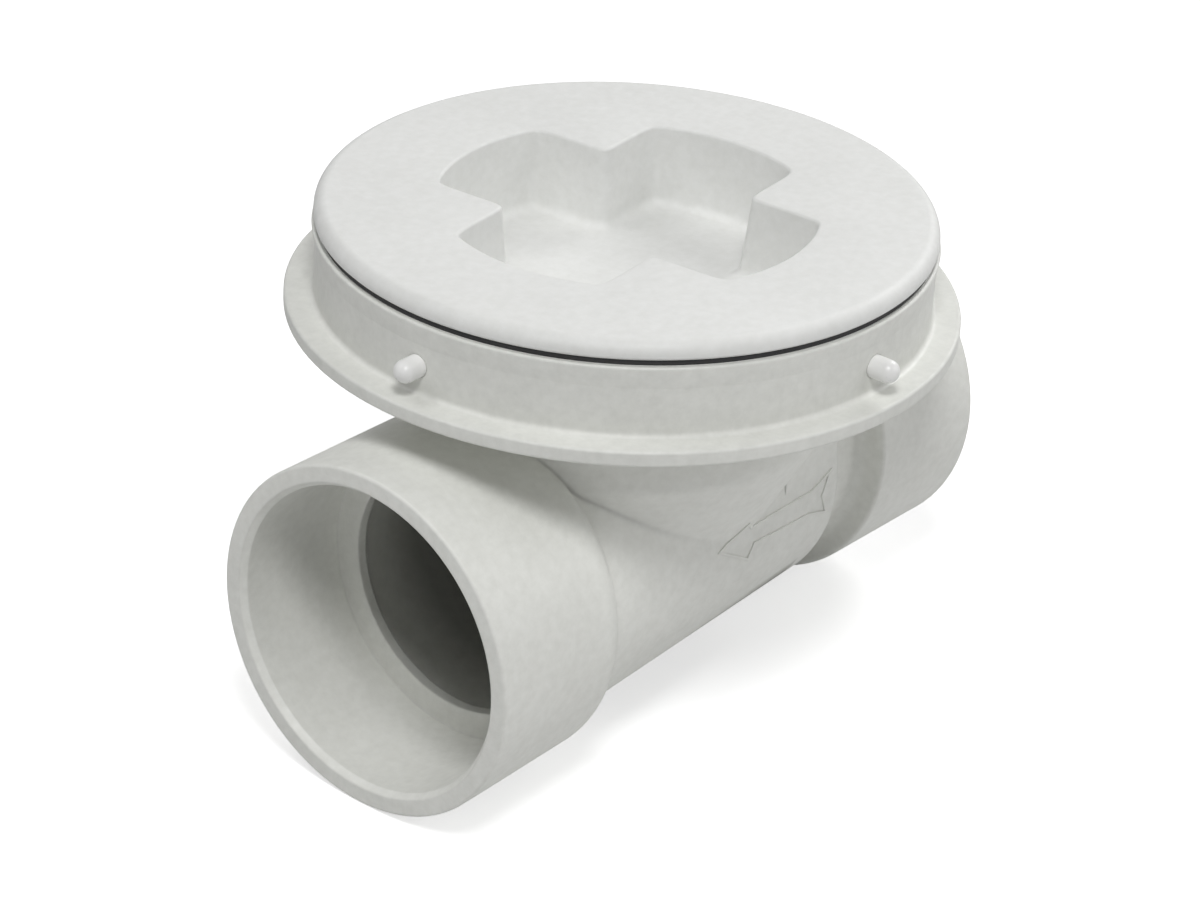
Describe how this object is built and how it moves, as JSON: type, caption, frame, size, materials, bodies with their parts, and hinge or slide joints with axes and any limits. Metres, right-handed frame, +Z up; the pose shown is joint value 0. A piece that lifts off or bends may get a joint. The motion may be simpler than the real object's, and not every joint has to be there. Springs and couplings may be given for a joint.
{
  "type": "backwater valve",
  "caption": "White plastic backwater valve with drain pipe sockets, a round screw access cover with a cross recess, and a hinged inner flap that stops backflow",
  "frame": {"origin": "centre of the outlet socket's pipe stop, on the outlet's axis", "axes": "+X runs upstream along the pipe run from outlet to inlet, +Z is up towards the access cover, +Y completes a right-handed frame"},
  "size_m": [0.2114, 0.1886, 0.1473],
  "materials": {
    "pvc_white": "moulded rigid white PVC, satin, with a faint mottle",
    "pvc_peg": "smooth white PVC rod, slightly glossier than the collar",
    "pvc_cover": "moulded rigid white PVC with a fine matt texture on the top face",
    "rubber_black": "matt black rubber",
    "stainless": "plain stainless steel"
  },
  "bodies": {
    "housing": {"valve_body": "pvc_white", "access_collar": "pvc_white", "riser_peg_outlet": "pvc_peg", "riser_peg_right": "pvc_peg", "riser_peg_inlet": "pvc_peg", "riser_peg_left": "pvc_peg", "seat_plate": "pvc_white", "seat_gasket": "rubber_black", "seat_plate_screws": "stainless", "hinge_pin": "stainless", "pin_clip_right": "stainless", "pin_clip_left": "stainless"},
    "seal_ring": {"cover_seal": "rubber_black"},
    "cover": {"access_cover": "pvc_cover"},
    "flap": {"flap": "pvc_white", "flap_facing": "rubber_black", "facing_retainer": "stainless", "retainer_screws": "stainless", "retainer_nuts": "stainless"}
  },
  "joints": [
    {"name": "flap_hinge", "type": "hinge", "parent": "housing", "child": "flap", "pos_m": [0.09199, 0, 0.05627], "axis": [0, 1, 0], "range_deg": [0, 47]},
    {"name": "cover_lift", "type": "slide", "parent": "housing", "child": "seal_ring", "axis": [0, 0, 1], "range_m": [0, 0.018]},
    {"name": "cover_turn", "type": "hinge", "parent": "seal_ring", "child": "cover", "pos_m": [0.06699, 0, 0.0913], "axis": [0, 0, 1], "range_deg": [0, 1080]}
  ],
  "couplings": [
    {"joint": "cover_lift", "follows": "cover_turn", "m_per_rad": 0.00095493}
  ]
}
